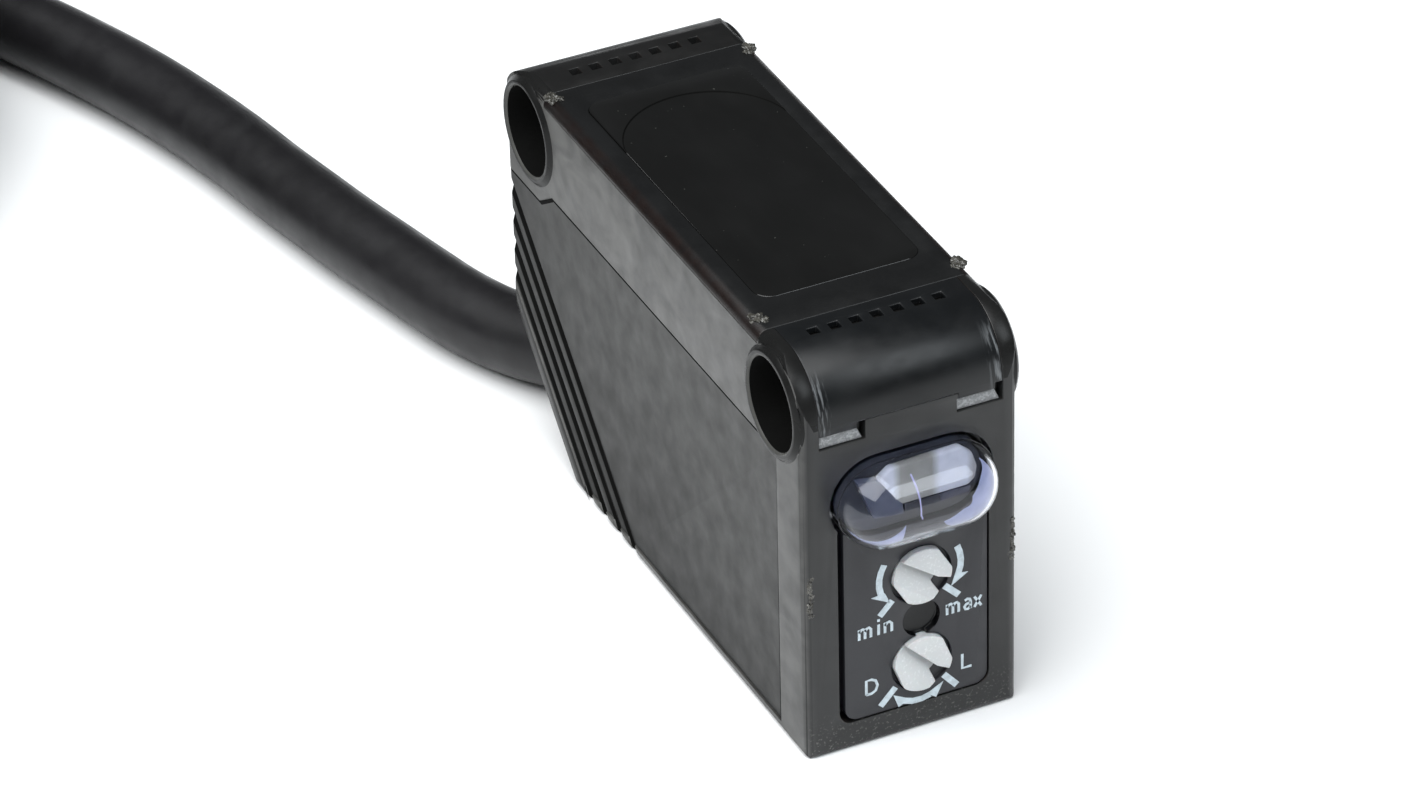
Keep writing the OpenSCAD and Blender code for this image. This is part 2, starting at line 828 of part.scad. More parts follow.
module cable_tie() {
    color(black) translate(coil_centre) rotate([0, 0, tie_angle]) {
        rotate([90, 0, 0]) linear_extrude(tie_w, center = true) difference() {
            coil_section(tie_t);
            coil_section(0);
        }
        translate([tie_head_r, -tie_head[1] / 2, 2 * tie_t + coil_height - eps]) cube(tie_head);
    }
}

// The free end lies on top of the coil: the last turn's jacket, then the stripped conductors.
function on_coil(i, r, z) =
    coil_centre + [cos(tail_step * i) * r, sin(tail_step * i) * r, tie_t + coil_height + z];

module cable_tail() {
    color(jacket) sweep([for (i = [0:tail_count]) on_coil(i, tail_r, cable_r)], cable_r);
}

// Lane -1, 0 or 1: side by side in the jacket, then a little apart and down on the coil.
function lane_offset(i) = conductor_d + lane_gap + fan_step * i;
function conductor_z(i) = max(conductor_r, cable_r - fall_step * i);
function conductor_at(lane, i) =
    on_coil(tail_count + i, tail_r + lane * lane_offset(i), conductor_z(i));

module conductor(lane)
    sweep([for (i = [0:conductor_count]) conductor_at(lane, i)], conductor_r);

module conductor_brown() { color(brown) conductor(-1); }

module conductor_black() { color(black) conductor(0); }

module conductor_blue() { color(blue) conductor(1); }

module conductor_tips() {
    color(tinned) for (lane = [-1, 0, 1])
        sweep([for (i = [0:1]) conductor_at(lane, conductor_count + i)], tip_r);
}

// ---------------------------------------------------------------- drawing

main_case();
nose_cap();
latch_lugs();
front_frame();
window_pane();
optics_holder();
emitter_lens();
receiver_lens();
emitter_led();
receiver_photodiode();
receiver_shield();
optics_board();
main_board();
control_board();
main_ic();
passives();
board_pins();
operation_led();
stability_led();
indicator_diffuser();
indicator_lens();
control_panel();
sensitivity_trimmer();
sensitivity_knob();
mode_switch();
mode_knob();
shaft_seals();
cable_gland();
cable_clamp();
inner_leads();
cable();
cable_coil();
cable_tie();
cable_tail();
conductor_brown();
conductor_blue();
conductor_black();
conductor_tips();
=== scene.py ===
"""Looks of a block-type miniature photoelectric sensor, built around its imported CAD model."""

import math

import bmesh
import bpy
from mathutils import Matrix, Vector, noise


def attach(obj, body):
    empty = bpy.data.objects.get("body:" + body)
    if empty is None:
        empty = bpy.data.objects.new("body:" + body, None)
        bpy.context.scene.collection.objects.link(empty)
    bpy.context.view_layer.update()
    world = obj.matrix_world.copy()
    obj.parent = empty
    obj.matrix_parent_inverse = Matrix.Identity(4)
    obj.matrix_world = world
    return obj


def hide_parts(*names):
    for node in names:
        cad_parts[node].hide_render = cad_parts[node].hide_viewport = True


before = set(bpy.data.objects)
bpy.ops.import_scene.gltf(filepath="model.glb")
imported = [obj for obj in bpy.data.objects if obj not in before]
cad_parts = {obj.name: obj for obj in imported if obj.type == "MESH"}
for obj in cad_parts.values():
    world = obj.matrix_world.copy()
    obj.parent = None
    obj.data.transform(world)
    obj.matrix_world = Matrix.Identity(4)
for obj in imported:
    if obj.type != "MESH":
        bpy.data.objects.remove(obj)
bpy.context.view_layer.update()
MM = 0.001
ROOT = "sensor"


def mm(*values):
    """A point or size given in millimetres."""
    return Vector(values) * MM


# ------------------------------------------------------------------ camera and studio

def add_camera():
    camera = bpy.data.objects.new("camera", bpy.data.cameras.new("camera"))
    camera.data.sensor_width = 36
    camera.data.lens = 174.3
    camera.data.clip_start = 0.01
    camera.location = mm(-110.288, -234.337, 179.512)
    forward = Vector((0.349184, 0.757880, -0.551079))
    right = Vector((0.901869, -0.431454, -0.021907))
    axes = Matrix((right, right.cross(forward), -forward)).transposed()
    camera.rotation_euler = axes.to_euler()
    bpy.context.scene.collection.objects.link(camera)
    bpy.context.scene.camera = camera


def area_light(name, location, target, size, watts, color=(1, 1, 1)):
    light = bpy.data.lights.new(name, "AREA")
    light.shape = "RECTANGLE"
    light.size, light.size_y = size
    light.energy = watts
    light.color = color
    holder = bpy.data.objects.new(name, light)
    holder.location = location
    holder.rotation_euler = (Vector(target) - Vector(location)).to_track_quat("-Z", "Y").to_euler()
    bpy.context.scene.collection.objects.link(holder)


def add_studio():
    floor_mesh = bpy.data.meshes.new("floor")
    half = 1.5
    floor_mesh.from_pydata(
        [(-half, -half, 0), (half, -half, 0), (half, half, 0), (-half, half, 0)], [], [(0, 1, 2, 3)])
    floor = bpy.data.objects.new("floor", floor_mesh)
    bpy.context.scene.collection.objects.link(floor)
    paper = bpy.data.materials.new("floor_paper")
    paper.use_nodes = True
    shader = paper.node_tree.nodes["Principled BSDF"]
    shader.inputs["Base Color"].default_value = (0.9, 0.9, 0.9, 1)
    shader.inputs["Roughness"].default_value = 0.9
    floor_mesh.materials.append(paper)
    world = bpy.data.worlds.new("studio")
    world.use_nodes = True
    world.node_tree.nodes["Background"].inputs["Color"].default_value = (0.92, 0.96, 1, 1)
    world.node_tree.nodes["Background"].inputs["Strength"].default_value = 0.1
    bpy.context.scene.world = world
    bpy.context.scene.view_settings.view_transform = "Standard"
    area_light("overhead", (-0.25, -0.06, 0.6), (0, 0.02, 0), (0.7, 0.7), 8.2, (0.97, 0.99, 1))
    area_light("front_right", (0.25, -0.42, 0.49), (0, 0, 0.015), (0.3, 0.33), 1.75, (0.9, 0.96, 1))


# ------------------------------------------------------------------ cord

# The route of part.scad's cable, in metres: inside the case, through the gland and over the floor.
CABLE_ROUTE = [
    (0, 0.0089, 0.00445), (0, 0.0102, 0.00405), (-0.0001, 0.012, 0.0035),
    (-0.0011, 0.0143, 0.00295), (-0.0026, 0.0168, 0.0024), (-0.0038, 0.0192, 0.0021),
    (-0.0049, 0.022, 0.002), (-0.0057, 0.025, 0.002), (-0.0064, 0.028, 0.002),
    (-0.0071, 0.031, 0.002), (-0.0077, 0.034, 0.002), (-0.0083, 0.037, 0.002),
    (-0.009, 0.041, 0.002), (-0.0099, 0.045, 0.002), (-0.011, 0.049, 0.002),
    (-0.0124, 0.053, 0.002), (-0.014, 0.057, 0.002), (-0.0158, 0.061, 0.002),
    (-0.0178, 0.065, 0.002),
]
CABLE_R = 2 * MM
COIL_CENTRE = mm(-45, 62, 0)
TIE_T = 0.4 * MM
ROW_STEP = 3.46 * MM
TURN_RADII = [  # of each turn, row by row from the floor up
    (26, 22, 18, 14), (16, 20, 24), (26, 22, 18, 14), (16, 20, 24), (22, 18),
]
ENTRY = 20                            # degrees, where the cable has joined its first turn
SHIFT_START, SHIFT_END = -45, -5      # where a turn moves over to the next one
RISE_START = -95                      # where the last turn of a row climbs
TAIL_END = 70
STEP = 10                             # between the points of a turn


def ease(t):
    t = min(max(t, 0), 1)
    return t * t * (3 - 2 * t)


def coil_point(angle, radius, height):
    a = math.radians(angle)
    return COIL_CENTRE + Vector((radius * math.cos(a), radius * math.sin(a), height))


def coil_path():
    """Turn after turn: each moves over to the next one's radius, and a row's last turn climbs."""
    turns = [
        (radius * MM, TIE_T + CABLE_R + row * ROW_STEP, row)
        for row, radii in enumerate(TURN_RADII) for radius in radii
    ]
    points = []
    last = len(turns) - 1
    for angle in range(ENTRY, 360 * last + TAIL_END + 1, STEP):
        turn = min((angle - SHIFT_START) // 360, last)
        here = angle - 360 * turn
        radius, height, row = turns[turn]
        if turn > 0 and turns[turn - 1][2] == row:
            before = turns[turn - 1][0]
            over = ease((here - SHIFT_START) / (SHIFT_END - SHIFT_START))
            radius = before + (radius - before) * over
        if turn < last and turns[turn + 1][2] != row:
            up = ease((here - 360 - RISE_START) / (SHIFT_START - RISE_START))
            radius += (turns[turn + 1][0] - radius) * up
            height += ROW_STEP * up
        points.append(coil_point(angle, radius, height))
    return points


def add_cord():
    curve = bpy.data.curves.new("cable_cord", "CURVE")
    curve.dimensions = "3D"
    curve.bevel_depth = 1             # times each point's own radius
    curve.bevel_resolution = 8
    curve.resolution_u = 6
    curve.use_fill_caps = True
    points = [Vector(p) for p in CABLE_ROUTE] + coil_path()
    spline = curve.splines.new("BEZIER")
    spline.bezier_points.add(len(points) - 1)
    for knot, point in zip(spline.bezier_points, points):
        knot.co = point
        knot.radius = CABLE_R
        knot.handle_left_type = knot.handle_right_type = "AUTO"
    cord = bpy.data.objects.new("cable_cord", curve)
    bpy.context.scene.collection.objects.link(cord)
    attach(cord, ROOT)
    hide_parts("cable", "cable_coil", "cable_tail")
    return cord


# ------------------------------------------------------------------ materials

class Look:
    """A Principled material with short calls that add nodes to it. Sizes are in millimetres."""

    def __init__(self, name, colour, roughness, **sockets):
        self.material = bpy.data.materials.new(name)
        self.material.use_nodes = True
        self.tree = self.material.node_tree
        self.shader = self.tree.nodes["Principled BSDF"]
        self.set("Base Color", (*colour, 1))
        self.set("Roughness", roughness)
        for socket, value in sockets.items():
            self.set(socket.replace("_", " "), value)
        self.place = self.add("ShaderNodeTexCoord").outputs["Object"]

    def set(self, socket, value):
        self.feed(self.shader.inputs[socket], value)

    def feed(self, target, value):
        if isinstance(value, bpy.types.NodeSocket):
            self.tree.links.new(value, target)
        else:
            target.default_value = value

    def add(self, kind, inputs=None, **settings):
        node = self.tree.nodes.new(kind)
        for key, value in settings.items():
            setattr(node, key, value)
        for socket, value in (inputs or {}).items():
            self.feed(node.inputs[socket], value)
        return node

    def math(self, operation, a, b=0.0):
        return self.add("ShaderNodeMath", {0: a, 1: b}, operation=operation).outputs[0]

    def span(self, value, low, high, to_low=0.0, to_high=1.0):
        """Value taken from the span low to high into the span to_low to to_high, and kept there."""
        return self.add("ShaderNodeMapRange", {
            "Value": value, "From Min": low, "From Max": high, "To Min": to_low, "To Max": to_high,
        }).outputs["Result"]

    def mix(self, share, a, b):
        """Colour a where share is 0, and colour b where it is 1."""
        colours = [c if isinstance(c, bpy.types.NodeSocket) else (*c, 1) for c in (a, b)]
        node = self.add("ShaderNodeMix", {0: share, 6: colours[0], 7: colours[1]}, data_type="RGBA")
        return node.outputs[2]

    def noise(self, size, detail=2, stretch=(1, 1, 1), turn=(0, 0, 0), warp=0.0):
        """Noise about 0.5, with blobs about size across, longer along the axes that stretch says."""
        place = self.place
        if stretch != (1, 1, 1) or turn != (0, 0, 0):
            place = self.add("ShaderNodeMapping", {
                "Vector": place, "Rotation": [math.radians(a) for a in turn],
                "Scale": [1 / s for s in stretch],
            }).outputs[0]
        return self.add("ShaderNodeTexNoise", {
            "Vector": place, "Scale": 1 / (size * MM), "Detail": detail, "Distortion": warp,
        }).outputs[0]

    def axis(self, name):
        """One of the coordinates X, Y and Z, in millimetres."""
        parts = self.add("ShaderNodeSeparateXYZ", {0: self.place})
        return self.math("MULTIPLY", parts.outputs[name], 1 / MM)

    def facing(self, name):
        """How far the surface faces along X, Y or Z, from -1 to 1."""
        parts = self.add("ShaderNodeSeparateXYZ", {0: self.add("ShaderNodeTexCoord").outputs["Normal"]})
        return parts.outputs[name]

    def edges(self, radius):
        """1 on edges and in corners, 0 on faces: there a rounded normal leaves the true one."""
        rounded = self.add("ShaderNodeBevel", {"Radius": radius * MM}, samples=4).outputs[0]
        true = self.add("ShaderNodeNewGeometry").outputs["Normal"]
        same = self.add("ShaderNodeVectorMath", {0: rounded, 1: true}, operation="DOT_PRODUCT")
        return self.span(same.outputs["Value"], 0.99, 0.85)

    def bump(self, height, depth, strength=1.0):
        """Fine relief, depth high from height 0 to 1."""
        node = self.add("ShaderNodeBump", {
            "Height": height, "Distance": depth * MM, "Strength": strength})
        self.set("Normal", node.outputs[0])


def shade(colour, factor):
    return tuple(min(c * factor, 1) for c in colour)


def plastic(name, colour, roughness, cloud=0.12, cloud_size=4, worn=None, grain=0.0015, **sockets):
    """Moulded plastic: faint clouds and specks of colour, uneven gloss, fine grain, worn edges."""
    look = Look(name, colour, roughness, **sockets)
    clouds = look.span(look.noise(cloud_size, 3, warp=0.6), 0.35, 0.65)
    tint = look.mix(clouds, shade(colour, 1 - cloud), shade(colour, 1 + cloud))
    fine = look.noise(0.12, 2)
    tint = look.mix(look.span(fine, 0.55, 0.8, 0, 0.5), tint, shade(colour, 1.5))
    if worn:
        rubbed = look.math("MULTIPLY", look.edges(0.09), look.span(look.noise(0.3, 4), 0.35, 0.65))
        tint = look.mix(rubbed, tint, worn)
    look.tint = tint
    look.set("Base Color", tint)
    look.set("Roughness", look.span(look.noise(1.3, 4), 0.3, 0.7, roughness - 0.07, roughness + 0.07))
    look.bump(look.noise(0.05, 2), grain)
    return look


HOLE_Y, HOLE_Z = 12.7, 17.2


def case_look():
    """Charcoal, darker on faces that face up as painted shade, with lighter cloudy marks on the sides above
    the label recess that are partly dust and partly a painted sheen, and specked low on the adjuster end.
    """
    look = plastic("case_charcoal", (0.0075, 0.0077, 0.0078), 0.4, worn=(0.03, 0.03, 0.029))
    side = look.span(look.math("ABSOLUTE", look.axis("X")), 4.95, 5.1)
    # Painted sheen, partly dust: lighter cloudy marks on the sides above the label recess, fading towards the
    # near end and past the grooves.
    marks = look.span(look.noise(2.6, 4, stretch=(1, 1.3, 0.8), turn=(35, 0, 0), warp=1.2), 0.35, 0.68)
    dust_and_sheen = look.math("MULTIPLY", side, look.span(marks, 0, 1, 0.35, 1))
    dust_and_sheen = look.math("MULTIPLY", dust_and_sheen, look.span(look.axis("Y"), -15, 12, 0.55, 1))
    slant = look.math("SUBTRACT", look.axis("Y"), look.axis("Z"))
    past_ribs = look.span(slant, CUT_C - RIB_STEP, CUT_C)
    dust_and_sheen = look.math("MULTIPLY", dust_and_sheen, look.span(past_ribs, 1, 0, 0.25, 1))
    # Painted shade: faces that face up are darker.
    tint = look.mix(look.span(look.facing("Z"), 0.05, 0.5), look.tint, (0.0052, 0.005, 0.0048))
    slanted = look.math("MULTIPLY", look.span(look.facing("Z"), 0.2, 0.45),
                        look.span(look.facing("Z"), 0.98, 0.8))
    sideways = look.span(look.math("ABSOLUTE", look.facing("X")), 0.2, 0.5)
    browned = look.math("MULTIPLY", slanted, sideways)
    tint = look.mix(browned, tint, (0.0085, 0.0055, 0.0045))
    tint = look.mix(dust_and_sheen, tint, (0.095, 0.094, 0.089))
    low = look.span(look.axis("Z"), 2.4, 0.3)
    specks = look.span(look.noise(0.13, 3), 0.58, 0.7)
    near = look.span(look.axis("Y"), -14.9, -15.4)
    rubbed = look.math("MULTIPLY", look.math("MULTIPLY", low, specks), near)
    look.set("Base Color", look.mix(rubbed, tint, (0.11, 0.108, 0.1)))
    return look.material


def recess_look():
    """The finer, duller surface of the label recess, with faint clouds in a painted sheen that is lighter
    towards the top and fades downwards.
    """
    look = plastic("recess_charcoal", (0.012, 0.012, 0.0118), 0.5, IOR=1.36)
    # Painted sheen: the recess is lighter towards the top, in faint clouds.
    high = look.span(look.axis("Z"), 1, 15, 0, 0.85)
    clouds = look.span(look.noise(5, 3, stretch=(1, 1.5, 0.8), turn=(30, 0, 0), warp=0.8), 0.3, 0.7, 0.5, 1)
    look.set("Base Color", look.mix(look.math("MULTIPLY", high, clouds), look.tint,
                                    (0.045, 0.045, 0.043)))
    return look.material


def hollow_shade_look():
    """The bare dull plastic down in the screw holes and the grip grooves, darkened as painted shade; it also
    darkens the window's arc step and the border strips.
    """
    look = plastic("hollow_black_shade", (0.004, 0.004, 0.0038), 0.75, IOR=1.15)
    return look.material


def ring_look():
    """Darker smooth plastic of the raised rings, with a painted highlight on the rim about each hole."""
    look = plastic("ring_black", (0.009, 0.009, 0.0088), 0.3, IOR=1.25)
    spot = look.add("ShaderNodeCombineXYZ", {
        "Y": look.math("SUBTRACT", look.math("ABSOLUTE", look.axis("Y")), HOLE_Y),
        "Z": look.math("SUBTRACT", look.axis("Z"), HOLE_Z)})
    away = look.add("ShaderNodeVectorMath", {0: spot.outputs[0]}, operation="LENGTH").outputs["Value"]
    # Painted highlight: a thin lighter rim about each hole.
    rim = look.span(away, 2.3, 2.22)
    look.set("Base Color", look.mix(rim, look.tint, (0.07, 0.07, 0.066)))
    return look.material


def cap_look():
    """Blue-black with a broad sheen, scratched along both rims; the scratches are painted only at the height
    where the highlight falls, so they are partly a painted highlight.
    """
    look = plastic("cap_black", (0.004, 0.0046, 0.0052), 0.36, cloud=0.2, worn=(0.035, 0.035, 0.037), IOR=1.4)
    rim = look.span(look.math("ABSOLUTE", look.axis("X")), 3.7, 4.2)
    # Painted highlight, partly real scratches: lighter scratches along the rims, only in the band of height
    # where the highlight falls.
    scratch_glints = look.span(look.noise(0.12, 4, stretch=(1, 9, 9), turn=(0, 4, 3)), 0.5, 0.64)
    height = look.math("MULTIPLY", look.span(look.axis("Z"), 16.4, 17.2), look.span(look.axis("Z"), 19.6, 19))
    marks = look.math("MULTIPLY", look.math("MULTIPLY", rim, scratch_glints), height)
    tint = look.mix(marks, look.tint, (0.13, 0.137, 0.143))
    look.set("Base Color", tint)
    return look.material


def frame_look():
    """Black, with its long edge rubbed to a brownish translucent line."""
    look = plastic("frame_black", (0.0058, 0.006, 0.0062), 0.38, cloud=0.2, IOR=1.38)
    edge = look.span(look.math("ABSOLUTE", look.axis("X")), 4.7, 4.95)
    broken = look.span(look.noise(0.7, 4), 0.3, 0.6, 0.4, 1)
    tint = look.mix(look.math("MULTIPLY", edge, broken), look.tint, (0.008, 0.0042, 0.0034))
    look.set("Base Color", tint)
    return look.material


def window_look():
    """Glossy black filter plastic with a few grains of dust."""
    look = Look("filter_black", (0.004, 0.004, 0.004), 0.12)
    dust = look.span(look.noise(0.22, 2), 0.745, 0.775)
    smears = look.span(look.noise(2.5, 4, stretch=(1, 2, 1)), 0.4, 0.8)
    tint = look.mix(smears, (0.005, 0.005, 0.0048), (0.007, 0.007, 0.0068))
    look.set("Base Color", look.mix(dust, tint, (0.05, 0.05, 0.045)))
    look.set("Roughness", look.span(smears, 0, 1, 0.1, 0.24))
    look.bump(look.noise(3.5, 1), 0.002)
    return look.material


def lug_look():
    """Light grey plastic with a crumbly moulded surface."""
    look = plastic("lug_grey", (0.27, 0.275, 0.28), 0.55, cloud=0.2, cloud_size=0.5)
    grains = look.noise(0.1, 3)
    look.set("Base Color", look.mix(look.span(grains, 0.45, 0.7), (0.2, 0.205, 0.21), (0.38, 0.39, 0.4)))
    look.bump(grains, 0.008)
    return look.material


def clear_look(name, colour, roughness=0.03, ior=1.49):
    """Clear moulded plastic with slight waves in its surface."""
    look = Look(name, colour, roughness, Transmission_Weight=1.0, IOR=ior)
    look.set("Base Color", look.mix(look.span(look.noise(1.5, 2), 0.3, 0.7), shade(colour, 0.96), colour))
    look.set("Roughness", look.span(look.noise(0.8, 3), 0.45, 0.75, roughness, roughness + 0.05))
    look.bump(look.noise(1.2, 1), 0.0008)
    return look.material


def metal_look(name, colour, roughness):
    look = Look(name, colour, roughness, Metallic=1.0)
    drawn = look.noise(0.1, 4, stretch=(1, 1, 6))
    look.set("Base Color", look.mix(look.span(drawn, 0.35, 0.7), shade(colour, 0.85), shade(colour, 1.08)))
    look.set("Roughness", look.span(look.noise(0.8, 3), 0.3, 0.7, roughness - 0.06, roughness + 0.1))
    look.bump(drawn, 0.0015)
    return look.material


def board_look():
    """Green solder mask over a faint pattern of tracks."""
    look = Look("solder_mask", (0.012, 0.09, 0.035), 0.35)
    tracks = look.add("ShaderNodeTexBrick", {
        "Vector": look.place, "Scale": 1 / (3.2 * MM), "Mortar Size": 0.05,
        "Color1": (0, 0, 0, 1), "Color2": (0, 0, 0, 1), "Mortar": (1, 1, 1, 1),
    }).outputs["Color"]
    look.set("Base Color", look.mix(tracks, (0.012, 0.09, 0.035), (0.03, 0.16, 0.06)))
    look.set("Roughness", look.span(look.noise(1.0, 3), 0.3, 0.7, 0.28, 0.42))
    look.bump(tracks, 0.02)
    return look.material


def cord_look():
    """Dark grey PVC with a soft sheen and a fine extruded surface."""
    look = plastic("cable_pvc", (0.009, 0.0085, 0.0095), 0.42, cloud=0.15, cloud_size=8, grain=0.004,
                   IOR=1.42)
    rubbed = look.span(look.noise(1.6, 4, warp=0.5), 0.55, 0.75, 0, 0.5)
    look.set("Base Color", look.mix(rubbed, look.tint, (0.017, 0.017, 0.018)))
    return look.material


# ------------------------------------------------------------------ pieces

def show(name, mesh, look, nodes, body=ROOT, smooth=35):
    """Adds a piece that stands for CAD nodes, rides on their body and is smooth up to an angle."""
    mesh.materials.clear()
    mesh.materials.append(look)
    mesh.polygons.foreach_set("use_smooth", [True] * len(mesh.polygons))
    mesh.set_sharp_from_angle(angle=math.radians(smooth))
    piece = bpy.data.objects.new(name, mesh)
    bpy.context.scene.collection.objects.link(piece)
    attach(piece, body)
    if nodes:
        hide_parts(*nodes)
    return piece


def applied(piece):
    """Puts a piece's modifiers into its mesh."""
    ready = piece.evaluated_get(bpy.context.evaluated_depsgraph_get())
    mesh = bpy.data.meshes.new_from_object(ready)
    piece.modifiers.clear()
    piece.data = mesh
    return piece


def refined(node, name, look, edge=0.05, merge=0.001, zones=()):
    """A node's shape with whole faces and softened edges, both in millimetres.

    Each zone is a second material and a test of a face's centre, in millimetres.
    """
    shape = bmesh.new()
    shape.from_mesh(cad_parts[node].data)
    bmesh.ops.remove_doubles(shape, verts=shape.verts, dist=0.001 * MM)
    bmesh.ops.dissolve_limit(shape, angle_limit=math.radians(0.4), verts=shape.verts, edges=shape.edges)
    bmesh.ops.remove_doubles(shape, verts=shape.verts, dist=merge * MM)
    mesh = bpy.data.meshes.new(name)
    shape.to_mesh(mesh)
    shape.free()
    piece = show(name, mesh, look, [node])
    rounding = piece.modifiers.new("edges", "BEVEL")
    rounding.width = edge * MM
    rounding.segments = 2
    rounding.angle_limit = math.radians(35)
    rounding.use_clamp_overlap = False
    applied(piece)
    piece.data.polygons.foreach_set("use_smooth", [True] * len(piece.data.polygons))
    piece.data.set_sharp_from_angle(angle=math.radians(40))
    for index, (zone_look, inside) in enumerate(zones, 1):
        piece.data.materials.append(zone_look)
        for face in piece.data.polygons:
            if inside(face.center / MM):
                face.material_index = index
    return piece


RECESS_X, SIDE_X = 5.1, 5.2
BORE_R, RING_R = 2.2, 2.68
ARC_Y = 4.05                          # centre of the window's round end
CUT_C, RIB_STEP = 8.6, 1.5556         # grip grooves, as they cross the base
EDGE_W = 0.85                         # past the last groove, to the cut corner
NEAR = 0.012                          # how far from a plane a face's middle may be
DIMPLE_R, PANEL_BACK = 0.92, -15.44   # the small round dimple is behind the panel's face


def from_hole(spot):
    return math.hypot(abs(spot.y) - HOLE_Y, spot.z - HOLE_Z)


def in_bore(spot):
    return from_hole(spot) < BORE_R and abs(spot.x) < 5.3


def in_ring(spot):
    """The raised rings, the case's rounded shoulders over them, and the edge past the grooves."""
    ring = from_hole(spot) < RING_R and abs(spot.x) > SIDE_X + 0.005
    shoulder = 4.42 < abs(spot.x) < SIDE_X - 0.005 and spot.z > 16.5 and abs(spot.y) > 11.3
    edge = spot.y - spot.z > CUT_C - EDGE_W and abs(spot.x) > 4.7
    return ring or shoulder or edge


def in_dimple(spot):
    middle = sum(KNOB_HEIGHTS.values()) / 2
    return math.hypot(spot.x - KNOB_X, spot.z - middle) < DIMPLE_R and spot.y > PANEL_BACK


def in_arc_step(spot):
    """The upright faces of the window's round clear part."""
    return 3.9 < math.hypot(spot.x, spot.y - ARC_Y) < 4.1 and spot.y > ARC_Y


def in_groove(spot):
    across = (CUT_C + spot.z - spot.y) / RIB_STEP
    return 4.8 < abs(spot.x) < RECESS_X - NEAR and 0.6 < across < 4.4


def in_recess(spot):
    return abs(abs(spot.x) - RECESS_X) < NEAR


def add_shells():
    # Painted shade: the screw holes and the grip grooves are darkened.
    hole_shade = hollow_shade_look()
    refined("main_case", "case_shell", case_look(), edge=0.03, merge=0.04,
            zones=[(recess_look(), in_recess), (ring_look(), in_ring), (hole_shade, in_bore),
                   (hole_shade, in_groove)])
    refined("nose_cap", "cap_shell", cap_look())
    refined("front_frame", "window_frame", frame_look(), edge=0.06)
    # Painted shade: the upright faces of the window's round clear part are darkened.
    refined("window_pane", "window_filter", window_look(), edge=0.035,
            zones=[(hollow_shade_look(), in_arc_step)])
    refined("latch_lugs", "latch_tips", lug_look(), edge=0.04)
    panel = plastic("panel_black", (0.0125, 0.0128, 0.0165), 0.4, cloud=0.08, worn=(0.035, 0.035, 0.04))
    # Painted shade: the dimple between the knobs is darker, and glossier.
    pit_shade = plastic("pit_black_shade", (0.003, 0.003, 0.0035), 0.14, IOR=1.35)
    refined("control_panel", "control_plate", panel.material, edge=0.05,
            zones=[(pit_shade.material, in_dimple)])
    rubber = plastic("gland_rubber", (0.015, 0.015, 0.016), 0.6, cloud=0.2, grain=0.01)
    refined("cable_gland", "gland_sleeve", rubber.material, edge=0.12)
    nylon = plastic("tie_nylon", (0.03, 0.03, 0.032), 0.4, cloud_size=2, grain=0.003)
    refined("cable_tie", "tie_band", nylon.material, edge=0.1)


def dress_inner_nodes():
    """Materials for the CAD pieces that stay as they are."""
    inner_black = plastic("holder_black", (0.012, 0.012, 0.012), 0.6, grain=0.004).material
    rubber = plastic("seal_rubber_soft", (0.02, 0.02, 0.02), 0.65, grain=0.01).material
    chip = plastic("chip_epoxy", (0.015, 0.015, 0.016), 0.5, grain=0.006).material
    clear = clear_look("optic_acrylic", (0.95, 0.96, 0.98))
    red_epoxy = clear_look("led_red_epoxy", (0.95, 0.25, 0.2), 0.1)
    tin = metal_look("tin_plate", (0.62, 0.62, 0.6), 0.32)
    brass = metal_look("pin_brass", (0.72, 0.55, 0.26), 0.25)
    copper = metal_look("tinned_strands", (0.66, 0.6, 0.55), 0.35)
    board = board_look()
    body_blue = plastic("trimmer_body", (0.03, 0.09, 0.3), 0.45).material
    looks = {
        "optics_holder": inner_black, "emitter_lens": clear, "receiver_lens": clear,
        "emitter_led": red_epoxy, "receiver_photodiode": chip, "receiver_shield": tin,
        "optics_board": board, "main_board": board, "control_board": board, "main_ic": chip,
        "passives": plastic("chip_ceramic", (0.28, 0.2, 0.12), 0.5, cloud_size=1).material,
        "board_pins": brass,
        "operation_led": plastic("led_amber", (0.8, 0.3, 0.05), 0.3, cloud_size=0.6).material,
        "stability_led": plastic("led_green", (0.1, 0.6, 0.15), 0.3, cloud_size=0.6).material,
        "sensitivity_trimmer": body_blue, "mode_switch": body_blue, "shaft_seals": rubber,
        "cable_clamp": tin,
        "inner_leads": plastic("lead_pvc", (0.12, 0.06, 0.035), 0.45, cloud_size=2).material,
        "conductor_brown": plastic("pvc_brown", (0.11, 0.04, 0.015), 0.4, cloud_size=2).material,
        "conductor_blue": plastic("pvc_blue", (0.02, 0.06, 0.32), 0.4, cloud_size=2).material,
        "conductor_black": plastic("pvc_black", (0.012, 0.012, 0.012), 0.4, cloud_size=2).material,
        "conductor_tips": copper,
    }
    for node, look in looks.items():
        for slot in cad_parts[node].material_slots:
            slot.material = look


# ------------------------------------------------------------------ adjusters

KNOB_X = 0.45
KNOB_HEIGHTS = {"sensitivity": 8.2, "selector": 3.55}
HEAD_R = 1.42
HEAD_FLAT = 1.27                      # two flats on the head, this far from its axis
HEAD_FLAT_ANGLE = 66                  # from the slot
HEAD_FACE, HEAD_BACK = -15.68, -15.2
SHAFT_R, SHAFT_TIP = 0.8, -13.35
JAW_TIP, JAW_HALF, JAW_SPREAD = 0.7, 0.23, 0.42   # notch at the rim: depth in, half widths
LIP = 0.23                            # the slot's steep side, this far from the axis
STEP_W = 0.04                         # width of its steep side
VALLEY = 1.0                          # width of its gentle side
VOXEL = 0.035


